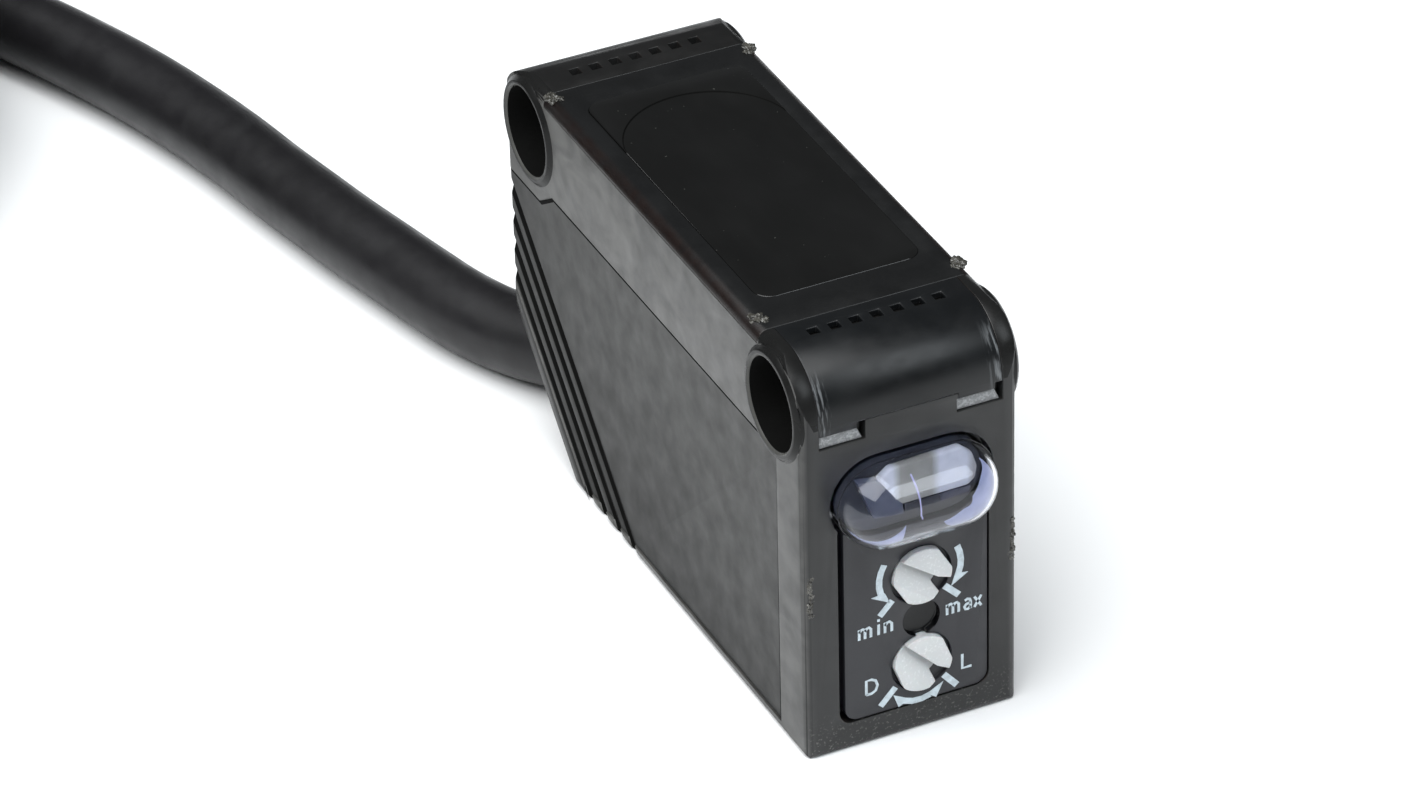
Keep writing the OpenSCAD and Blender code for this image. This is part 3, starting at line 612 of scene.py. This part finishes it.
def head_outline():
    """Round head with two flats and a wedge-shaped notch at the slot's open end, as (u, w)."""
    points = [(JAW_TIP, -JAW_HALF * 0.6), (JAW_TIP - 0.05, 0), (JAW_TIP, JAW_HALF)]
    mouth = math.degrees(math.asin(JAW_SPREAD / HEAD_R))
    count = 90
    for i in range(count + 1):
        angle = math.radians(mouth + (360 - 2 * mouth) * i / count)
        across = abs(math.cos(angle - math.radians(HEAD_FLAT_ANGLE)))
        r = min(HEAD_R, HEAD_FLAT / max(across, 0.01))
        points.append((r * math.cos(angle), r * math.sin(angle)))
    return points


def slot_depth(u, w):
    """Depth of the screwdriver slot: steep under its lip, gentle on the other side, open end deep."""
    deep = 0.36 + 0.06 * u
    if w > LIP:
        return 0
    if w > LIP - STEP_W:
        return deep * (LIP - w) / STEP_W
    return deep * (1 - (LIP - STEP_W - w) / VALLEY) if w > LIP - STEP_W - VALLEY else 0


def prism(outline, low, high):
    """A solid with an outline in (u, w), from low to high along the third axis."""
    shape = bmesh.new()
    face = shape.faces.new([shape.verts.new((u, w, low)) for u, w in outline])
    top = bmesh.ops.extrude_face_region(shape, geom=[face])["geom"]
    for vert in (v for v in top if isinstance(v, bmesh.types.BMVert)):
        vert.co.z = high
    bmesh.ops.recalc_face_normals(shape, faces=shape.faces)
    mesh = bpy.data.meshes.new("prism")
    shape.to_mesh(mesh)
    shape.free()
    return mesh


def slab(back, face):
    """A block whose upper face has the screwdriver slot pressed into it."""
    shape = bmesh.new()
    half, cells = 1.6, 80
    grid = bmesh.ops.create_grid(shape, x_segments=cells, y_segments=cells, size=half)
    for vert in grid["verts"]:
        vert.co.z = face - slot_depth(vert.co.x, vert.co.y)
    down = bmesh.ops.extrude_face_region(shape, geom=list(shape.faces))["geom"]
    for vert in (v for v in down if isinstance(v, bmesh.types.BMVert)):
        vert.co.z = back - 1
    bmesh.ops.recalc_face_normals(shape, faces=shape.faces)
    mesh = bpy.data.meshes.new("slab")
    shape.to_mesh(mesh)
    shape.free()
    return mesh


def scratch_object(mesh):
    helper = bpy.data.objects.new(mesh.name, mesh)
    bpy.context.scene.collection.objects.link(helper)
    return helper


def combined(first, second, operation):
    """The first mesh joined with, cut by or kept inside the second."""
    a, b = scratch_object(first), scratch_object(second)
    joint = a.modifiers.new("with", "BOOLEAN")
    joint.object = b
    joint.operation = operation
    mesh = applied(a).data
    for helper in (a, b):
        bpy.data.objects.remove(helper)
    return mesh


def soft_skin(mesh, voxel, rounds):
    """The mesh again in even small faces, with its edges softened."""
    helper = scratch_object(mesh)
    skin = helper.modifiers.new("skin", "REMESH")
    skin.mode = "VOXEL"
    skin.voxel_size = voxel
    soften = helper.modifiers.new("soften", "SMOOTH")
    soften.factor = 0.5
    soften.iterations = rounds
    mesh = applied(helper).data
    bpy.data.objects.remove(helper)
    return mesh


def add_knob(name, node, body, angle, look):
    """Pac-man shaped head with a slanting slot, and its shaft, in slot coordinates in millimetres."""
    thick = HEAD_BACK - HEAD_FACE
    head = combined(prism(head_outline(), 0, thick + 0.5), slab(0, thick), "INTERSECT")
    shaft = prism([(SHAFT_R * math.cos(a / 24 * math.tau), SHAFT_R * math.sin(a / 24 * math.tau))
                   for a in range(24)], HEAD_BACK - SHAFT_TIP, 0.1)
    mesh = soft_skin(combined(head, shaft, "UNION"), VOXEL, 4)
    # Slot axis u, then w across it, then outward along -Y.
    turn = math.radians(angle)
    along = Vector((math.cos(turn), 0, math.sin(turn)))
    outward = Vector((0, -1, 0))
    across = outward.cross(along)
    axes = Matrix((along, across, outward)).transposed().to_4x4()
    place = Matrix.Translation(mm(KNOB_X, HEAD_BACK, KNOB_HEIGHTS[body]))
    mesh.transform(place @ axes @ Matrix.Scale(MM, 4))
    return show(name, mesh, look, [node], body, smooth=60)


def knob_look(height, angle):
    """White acetal, greyer with painted shade towards the bottom of the slot, under its lip."""
    look = plastic("knob_acetal", (0.58, 0.595, 0.6), 0.4, cloud=0.03, cloud_size=1.5, grain=0.002,
                   Subsurface_Weight=0.1, Subsurface_Scale=0.3 * MM)
    turn = math.radians(angle)
    x = look.math("MULTIPLY", look.math("SUBTRACT", look.axis("X"), KNOB_X), -math.sin(turn))
    z = look.math("MULTIPLY", look.math("SUBTRACT", look.axis("Z"), height), math.cos(turn))
    w = look.math("ADD", x, z)
    # Painted shade: darker in the slot's valley under its lip, towards the slot's bottom.
    inside = look.math("MULTIPLY", look.span(w, LIP - VALLEY, LIP - 0.05),
                       look.span(w, LIP + 0.03, LIP - 0.01))
    below = look.span(look.axis("Y"), HEAD_FACE + 0.02, HEAD_FACE + 0.2)
    slot_shade = look.math("MULTIPLY", look.math("MULTIPLY", inside, inside), below)
    slot_shade = look.math("MULTIPLY", slot_shade, 0.75)
    look.set("Base Color", look.mix(slot_shade, look.tint, (0.2, 0.21, 0.215)))
    return look.material


def add_knobs():
    for name, node, body, angle in (("sensitivity_adjuster", "sensitivity_knob", "sensitivity", -36),
                                    ("mode_adjuster", "mode_knob", "selector", -45)):
        add_knob(name, node, body, angle, knob_look(KNOB_HEIGHTS[body], angle))


# ------------------------------------------------------------------ printed marks

PRINT_Y = -15.45
PRINT_T = 0.02
STROKE = 0.13
ARROW_W = 0.31

GLYPHS = {  # strokes on an x-height of 1
    "m": [[(0, 0), (0, 1)], [(0, 0.7), (0.16, 0.93), (0.36, 0.98), (0.52, 0.8), (0.52, 0)],
          [(0.52, 0.7), (0.68, 0.93), (0.88, 0.98), (1.04, 0.8), (1.04, 0)]],
    "i": [[(0, 0), (0, 1)], [(0, 1.28), (0, 1.5)]],
    "n": [[(0, 0), (0, 1)], [(0, 0.7), (0.18, 0.93), (0.4, 0.98), (0.6, 0.78), (0.6, 0)]],
    "a": [[(0.06, 0.88), (0.28, 1), (0.5, 0.92), (0.58, 0.7), (0.58, 0)],
          [(0.58, 0.58), (0.2, 0.52), (0.02, 0.3), (0.12, 0.04), (0.36, 0), (0.58, 0.22)]],
    "x": [[(0, 0), (0.62, 1)], [(0, 1), (0.62, 0)]],
    "D": [[(0, 0), (0, 1), (0.36, 1), (0.62, 0.86), (0.74, 0.5), (0.62, 0.14), (0.36, 0), (0, 0)]],
    "L": [[(0, 1), (0, 0), (0.6, 0)]],
}
WORDS = [  # letters with their left edges, foot height and size
    ((("m", -2.6), ("i", -1.65), ("n", -1.34)), 5.66, 0.55),
    ((("m", 1.7), ("a", 2.54), ("x", 3.04)), 5.63, 0.55),
    ((("D", -2.28),), 2.63, 0.74),
    ((("L", 2.44),), 2.53, 0.76),
]
BARS = [((1.58, 7.24), (2.28, 6.54)), ((-0.97, 7.27), (-1.59, 6.62)),
        ((-0.85, 2.58), (-1.59, 1.79)), ((1.52, 2.49), (2.17, 1.73))]
ARROWS = [  # centre line, and the head's corners in turn from the left of the line's end
    ([(-1.35, 9.26), (-1.51, 8.92), (-1.6, 8.55), (-1.61, 8.15), (-1.53, 7.78), (-1.46, 7.62)],
     [(-1.3, 7.7), (-1.09, 7.2), (-2.0, 7.7)]),
    ([(2.2, 9.16), (2.32, 8.8), (2.38, 8.4), (2.36, 8.05), (2.27, 7.74), (2.22, 7.62)],
     [(2.74, 7.63), (1.9, 7.12), (2.08, 7.66)]),
]
DOUBLE_ARROW = ([(-0.6, 1.83), (-0.42, 1.71), (-0.03, 1.57), (0.43, 1.55), (0.86, 1.65), (1.1, 1.77)],
                [(0.86, 1.6), (1.14, 1.4), (1.5, 2.14)], [(-0.96, 2.18), (-0.71, 1.46)])


def ribbon_sides(points, width):
    """The two sides of a stroke of even width along points."""
    spots = [Vector(p) for p in points]
    left, right = [], []
    for i, spot in enumerate(spots):
        way = (spots[min(i + 1, len(spots) - 1)] - spots[max(i - 1, 0)]).normalized()
        aside = Vector((-way.y, way.x)) * width / 2
        left.append(spot + aside)
        right.append(spot - aside)
    return left, right


def ribbon(points, width):
    """Outline of a stroke of even width along points."""
    left, right = ribbon_sides(points, width)
    return left + right[::-1]


def add_print(shape, outline, y=PRINT_Y, thick=PRINT_T):
    """A thin raised block with an outline in (x, z), half of it sunk in the surface at y."""
    lower, upper = ([shape.verts.new(mm(p[0], y + d, p[1])) for p in outline] for d in (thick, -thick))
    shape.faces.new(lower)
    shape.faces.new(upper)
    for i, here in enumerate(lower):
        nxt = (i + 1) % len(lower)
        shape.faces.new((here, lower[nxt], upper[nxt], upper[i]))


def add_legends():
    shape = bmesh.new()
    outlines = []
    for letters, foot, size in WORDS:
        for letter, left in letters:
            for stroke in GLYPHS[letter]:
                outlines.append(ribbon([(left + x * size, foot + y * size) for x, y in stroke], STROKE))
    outlines += [ribbon(bar, ARROW_W) for bar in BARS]
    for line, head in ARROWS:
        left, right = ribbon_sides(line, ARROW_W)
        outlines.append(left[:-1] + head + right[-2::-1])
    line, head, tail = DOUBLE_ARROW
    left, right = ribbon_sides(line, ARROW_W)
    outlines.append(left[1:-1] + head[::-1] + right[-2:0:-1] + tail[::-1])
    for outline in outlines:
        add_print(shape, outline)
    mesh = finished(shape, "panel_legends")
    ink = plastic("ink_pale", (0.5, 0.575, 0.62), 0.5, cloud=0.12, cloud_size=0.4)
    show("panel_legends", mesh, ink.material, [])


# ------------------------------------------------------------------ lens

LENS_X, LENS_Z, LENS_HALF, LENS_R = 0, 12.95, 1.7, 2.05
LENS_BASE, LENS_FOOT = -15.9, -14.6
FLANGE_R = 2.1
SHELL_T = 0.17
INSIDE_Y = -15.8                      # front of the shapes that show through the dome
DOME_STEPS, DOME_START = 14, 4        # rings of the dome, and the first one's angle from its top


def capsule_rows(profile, sides=24):
    """Rings of points round a capsule outline, one for each (radius, y) of the profile."""
    rows = []
    for r, y in profile:
        ring = []
        for end in (1, -1):
            for i in range(sides + 1):
                a = math.radians(90 * end - 180 * i / sides)
                ring.append(mm(LENS_X + end * LENS_HALF + r * math.cos(a), y, LENS_Z + r * math.sin(a)))
        rows.append(ring)
    return rows


def loft(shape, rows):
    """A solid between rings of points; the first and last rings are closed by a face each."""
    rings = [[shape.verts.new(p) for p in row] for row in rows]
    for low, high in zip(rings, rings[1:]):
        for i, here in enumerate(low):
            nxt = (i + 1) % len(low)
            shape.faces.new((here, low[nxt], high[nxt], high[i]))
    shape.faces.new(rings[0])
    shape.faces.new(rings[-1])


def finished(shape, name):
    """The mesh of a bmesh, with its faces turned outward."""
    bmesh.ops.recalc_face_normals(shape, faces=shape.faces)
    mesh = bpy.data.meshes.new(name)
    shape.to_mesh(mesh)
    shape.free()
    return mesh


def dome_profile(r):
    """(radius, y) down a dome from near its top to its base."""
    step = (90 - DOME_START) / DOME_STEPS
    angles = [math.radians(DOME_START + step * i) for i in range(DOME_STEPS + 1)]
    return [(r * math.sin(a), LENS_BASE - r * math.cos(a)) for a in angles]


def add_lens():
    """Hollow capsule-shaped dome on a straight flange."""
    outside = dome_profile(LENS_R) + [(FLANGE_R, LENS_BASE), (FLANGE_R, LENS_FOOT)]
    inside = [(LENS_R - SHELL_T, LENS_FOOT)] + dome_profile(LENS_R - SHELL_T)[::-1]
    shape = bmesh.new()
    loft(shape, capsule_rows(outside + inside))
    clear = clear_look("lens_lavender", (0.93, 0.94, 1.0), 0.04, 1.36)
    show("lens_dome", finished(shape, "lens_dome"), clear, ["indicator_lens"], smooth=50)


def plate(name, outlines, front, back, look, nodes=(), edge=0.06):
    """Upright plates with softened edges; each outline is a list of (x, z)."""
    shape = bmesh.new()
    for outline in outlines:
        add_print(shape, outline, (front + back) / 2, (back - front) / 2)
    bmesh.ops.bevel(shape, geom=shape.edges, offset=edge * MM, segments=2, affect="EDGES", profile=0.5)
    return show(name, finished(shape, name), look, nodes, smooth=50)


def smooth_line(points, rounds=2):
    """The line through its own corners cut off, round after round; its ends stay."""
    for _ in range(rounds):
        cut = [points[0]]
        for a, b in zip(points, points[1:]):
            cut.append([0.75 * p + 0.25 * q for p, q in zip(a, b)])
            cut.append([0.25 * p + 0.75 * q for p, q in zip(a, b)])
        points = cut + [points[-1]]
    return points


def dome_patch(shape, end, first, second, low, high, rows=5):
    """A curved flake of painted reflection inside one end of the dome, from radius low to high.

    It lies between two lines of (shift along X, angle from the top, angle in the XZ plane).
    """
    layers = []
    for r in (low, high):
        layer = []
        for a, b in zip(smooth_line(first), smooth_line(second)):
            ways = []
            for shift, polar, turn in (a, b):
                polar, turn = math.radians(polar), math.radians(turn)
                way = Vector((math.sin(polar) * math.cos(turn), -math.cos(polar),
                              math.sin(polar) * math.sin(turn)))
                ways.append((shift, way))
            line = []
            for i in range(rows + 1):
                t = i / rows
                shift = ways[0][0] * (1 - t) + ways[1][0] * t
                way = ways[0][1].lerp(ways[1][1], t).normalized() * r
                spot = mm(LENS_X + end * LENS_HALF + shift, LENS_BASE, LENS_Z) + way * MM
                line.append(shape.verts.new(spot))
            layer.append(line)
        layers.append(layer)
    inner, outer = layers
    last, side = len(inner) - 1, rows
    for i in range(last):
        for j in range(side):
            for layer in layers:
                shape.faces.new((layer[i][j], layer[i + 1][j], layer[i + 1][j + 1], layer[i][j + 1]))
        for j in (0, side):
            shape.faces.new((inner[i][j], inner[i + 1][j], outer[i + 1][j], outer[i][j]))
    for j in range(side):
        for i in (0, last):
            shape.faces.new((inner[i][j], inner[i][j + 1], outer[i][j + 1], outer[i][j]))


def liner_look():
    """Dark blue behind the upper part of the lens, and grey below."""
    look = Look("lens_liner", (0.012, 0.015, 0.028), 0.5)
    low = look.span(look.axis("Z"), 12.02, 11.9)
    grain = look.noise(0.5, 3)
    navy = look.mix(grain, (0.008, 0.011, 0.02), (0.022, 0.028, 0.048))
    grey = look.mix(look.span(look.axis("X"), -2.2, 0), (0.035, 0.04, 0.06), (0.055, 0.055, 0.055))
    look.set("Base Color", look.mix(low, navy, grey))
    look.bump(grain, 0.004)
    return look.material


def bar_look():
    """Pale diffuser, beige in the middle and lavender white towards its ends."""
    look = Look("light_pipe", (0.5, 0.5, 0.52), 0.4)
    x = look.axis("X")
    away = look.math("ABSOLUTE", look.math("SUBTRACT", x, 0.05))
    ends = look.span(away, 0.75, 1.15)
    milk = look.span(look.noise(0.6, 2), 0.3, 0.7)
    middle = look.mix(milk, (0.26, 0.26, 0.235), (0.32, 0.32, 0.29))
    pale = look.mix(milk, (0.56, 0.59, 0.66), (0.68, 0.71, 0.77))
    tip = look.mix(look.span(x, 2.5, 2.85), pale, (0.34, 0.34, 0.35))
    look.set("Base Color", look.mix(ends, middle, tip))
    look.set("Roughness", look.span(milk, 0, 1, 0.35, 0.45))
    look.bump(look.noise(0.15, 3), 0.003)
    return look.material


def tinted_look(name, dark, light):
    """Smooth plastic in two close shades."""
    look = Look(name, light, 0.4)
    clouds = look.span(look.noise(0.7, 2), 0.3, 0.7)
    look.set("Base Color", look.mix(clouds, dark, light))
    look.bump(look.noise(0.2, 2), 0.002)
    return look.material


def add_lens_inside():
    """What shows through the dome: a liner, a pale bar, a blue prism, dark details, and bright strips and
    flakes that are painted highlights and reflections.
    """
    inside_r = LENS_R - SHELL_T - 0.05
    liner = [(end * LENS_HALF + inside_r * math.cos(math.radians(90 * end - a)),
              LENS_Z + inside_r * math.sin(math.radians(90 * end - a)))
             for end in (1, -1) for a in range(0, 181, 10)]
    plate("lens_liner", [liner], -15.3, -15.05, liner_look())
    plate("light_pipes", [[(-1.2, 14.4), (0.5, 14.4), (2.2, 14.5), (2.8, 14.05), (3.05, 13.3), (2.95, 12.7),
                           (2.55, 12.42), (1.1, 12.48), (-0.6, 12.47), (-0.85, 12.51),
                           (-1.76, 13.95)]],
          INSIDE_Y, -15.35, bar_look(), ["indicator_diffuser"], edge=0.12)
    plate("lens_prism", [[(-2.74, 14.13), (-1.8, 14.02), (-0.6, 12.45), (-0.55, 11.9), (-2.0, 12.08)]],
          INSIDE_Y, -15.4, tinted_look("prism_blue", (0.045, 0.055, 0.095), (0.065, 0.078, 0.12)),
          edge=0.03)
    plate("lens_stop", [[(-0.54, 12.42), (1.21, 12.42), (1.21, 11.97), (-0.5, 12.0)]],
          INSIDE_Y - 0.02, -15.4, tinted_look("stop_black", (0.004, 0.005, 0.012), (0.008, 0.01, 0.02)),
          edge=0.03)
    plate("lens_sill", [[(1.24, 12.4), (2.67, 12.4), (2.6, 12.1), (1.24, 11.97)]],
          INSIDE_Y, -15.4, tinted_look("sill_grey", (0.045, 0.048, 0.07), (0.07, 0.073, 0.1)),
          edge=0.03)
    # Painted highlights: thin bright violet strips inside the dome stand for glints on it.
    glint_streaks = [ribbon([(-0.23, 13.87), (-0.1, 13.5), (0.01, 13.2), (0.12, 12.8), (0.2, 12.48)], 0.07),
               ribbon([(0.2, 12.48), (0.26, 11.9), (0.28, 11.35)], 0.05)]
    plate("lens_glint_streaks", glint_streaks, INSIDE_Y - 0.06, INSIDE_Y + 0.02,
          tinted_look("streak_violet_glint", (0.6, 0.58, 0.9), (0.8, 0.78, 1.0)), edge=0.01)
    # Painted reflections: pale lavender flakes inside both ends of the dome.
    shape = bmesh.new()
    high = LENS_R - SHELL_T - 0.015
    low = high - 0.03
    dome_patch(shape, 1,
               [(0, 64, 58), (0, 59, 44), (0, 54, 23), (0, 47, 4), (0, 41, -19), (0, 36, -55),
                (-0.5, 40, -90), (-1.15, 24, -90)],
               [(0, 54, 52), (0, 38, 56), (0, 18, 60), (0, 6, 90), (-0.3, 3, -90), (-0.6, 9, -90),
                (-0.95, 15, -90), (-1.3, 17, -90)], low, high)
    dome_patch(shape, -1,
               [(0, 74, -156), (0, 58, -144), (0, 40, -134), (0, 22, -118), (0.25, 4, -90)],
               [(0, 84, -156), (0, 78, -138), (0, 68, -120), (0, 56, -106), (0.2, 40, -92)], low, high)
    show("lens_reflection_flakes", finished(shape, "lens_reflection_flakes"),
         tinted_look("flake_lavender_reflection", (0.36, 0.4, 0.6), (0.5, 0.54, 0.76)), [], smooth=50)


# ------------------------------------------------------------------ moulding marks, and painted shade along the label recess

def crumb(shape, centre, size, seed):
    """An irregular lump of torn plastic, size across each way in millimetres."""
    made = bmesh.ops.create_icosphere(shape, subdivisions=4, radius=1)["verts"]
    shift = Vector((seed * 3.1, seed * 7.7, seed * 1.9))
    for vert in made:
        way = vert.co.copy()
        rough = 1 + 0.6 * noise.noise(way * 1.4 + shift) + 0.3 * noise.noise(way * 3 + shift)
        rough += 0.07 * noise.noise(way * 8 + shift)
        vert.co = mm(*(c + w * s * rough / 2 for c, w, s in zip(centre, way, size)))


def add_moulding_marks():
    """Torn gate remnants on the top's long edges, and rough patches beside the end face."""
    shape = bmesh.new()
    for i, (x, y) in enumerate(((-4.86, 10.61), (4.95, 10.47), (-4.7, -10.15), (4.99, -10.14))):
        side = 1 if x > 0 else -1
        crumb(shape, (x, y, 19.88), (0.62, 0.7, 0.46), i + 1)
        crumb(shape, (x - side * 0.24, y - 0.3, 19.95), (0.42, 0.46, 0.26), i + 9)
        crumb(shape, (x + side * 0.05, y + 0.34, 19.8), (0.36, 0.44, 0.4), i + 17)
    for i in range(9):
        z = 7.7 + 0.24 * i
        crumb(shape, (-4.87 + 0.04 * math.sin(5 * i), -15.37, z), (0.28, 0.26, 0.32), i + 31)
        crumb(shape, (4.87 + 0.05 * math.sin(4 * i), -15.35, z), (0.32, 0.3, 0.34), i + 51)
    look = plastic("torn_plastic", (0.04, 0.038, 0.032), 0.25, cloud=0.7, cloud_size=0.2, grain=0.004,
                   worn=(0.17, 0.165, 0.15))
    show("gate_marks", finished(shape, "gate_marks"), look.material, [], smooth=40)


BORDER_W, BORDER_T = 0.24, 0.008      # wide, as the raised border hides most of it from above
BORDER_LINE = [  # along the label recess from the back face up and over, as (y, z)
    (-12.73, 0.5), (-12.73, 14.73), (10.4, 14.73), (11.8, 13.83), (15.2, 13.83),
]


def add_strip(shape, x, corners):
    """A thin raised block with corners in (y, z), half of it sunk in the surface at x."""
    lower, upper = ([shape.verts.new(mm(x + d, y, z)) for y, z in corners]
                    for d in (-BORDER_T, BORDER_T))
    shape.faces.new(lower)
    shape.faces.new(upper)
    for i, here in enumerate(lower):
        nxt = (i + 1) % len(lower)
        shape.faces.new((here, lower[nxt], upper[nxt], upper[i]))


def add_border_shade_lines():
    """Thin dark strips of painted shade between the label recess and its raised border, on both sides."""
    shape = bmesh.new()
    left, right = ribbon_sides(BORDER_LINE, BORDER_W)
    for side in (-1, 1):
        x = side * RECESS_X
        for (a, b), (c, d) in zip(zip(left, right), zip(left[1:], right[1:])):
            add_strip(shape, x, (a, b, d, c))
    show("border_shade_lines", finished(shape, "border_shade_lines"), hollow_shade_look(), [])


add_camera()
add_studio()
cord = add_cord()
cord.data.materials.append(cord_look())
add_shells()
dress_inner_nodes()
add_knobs()
add_legends()
add_lens()
add_lens_inside()
add_moulding_marks()
add_border_shade_lines()
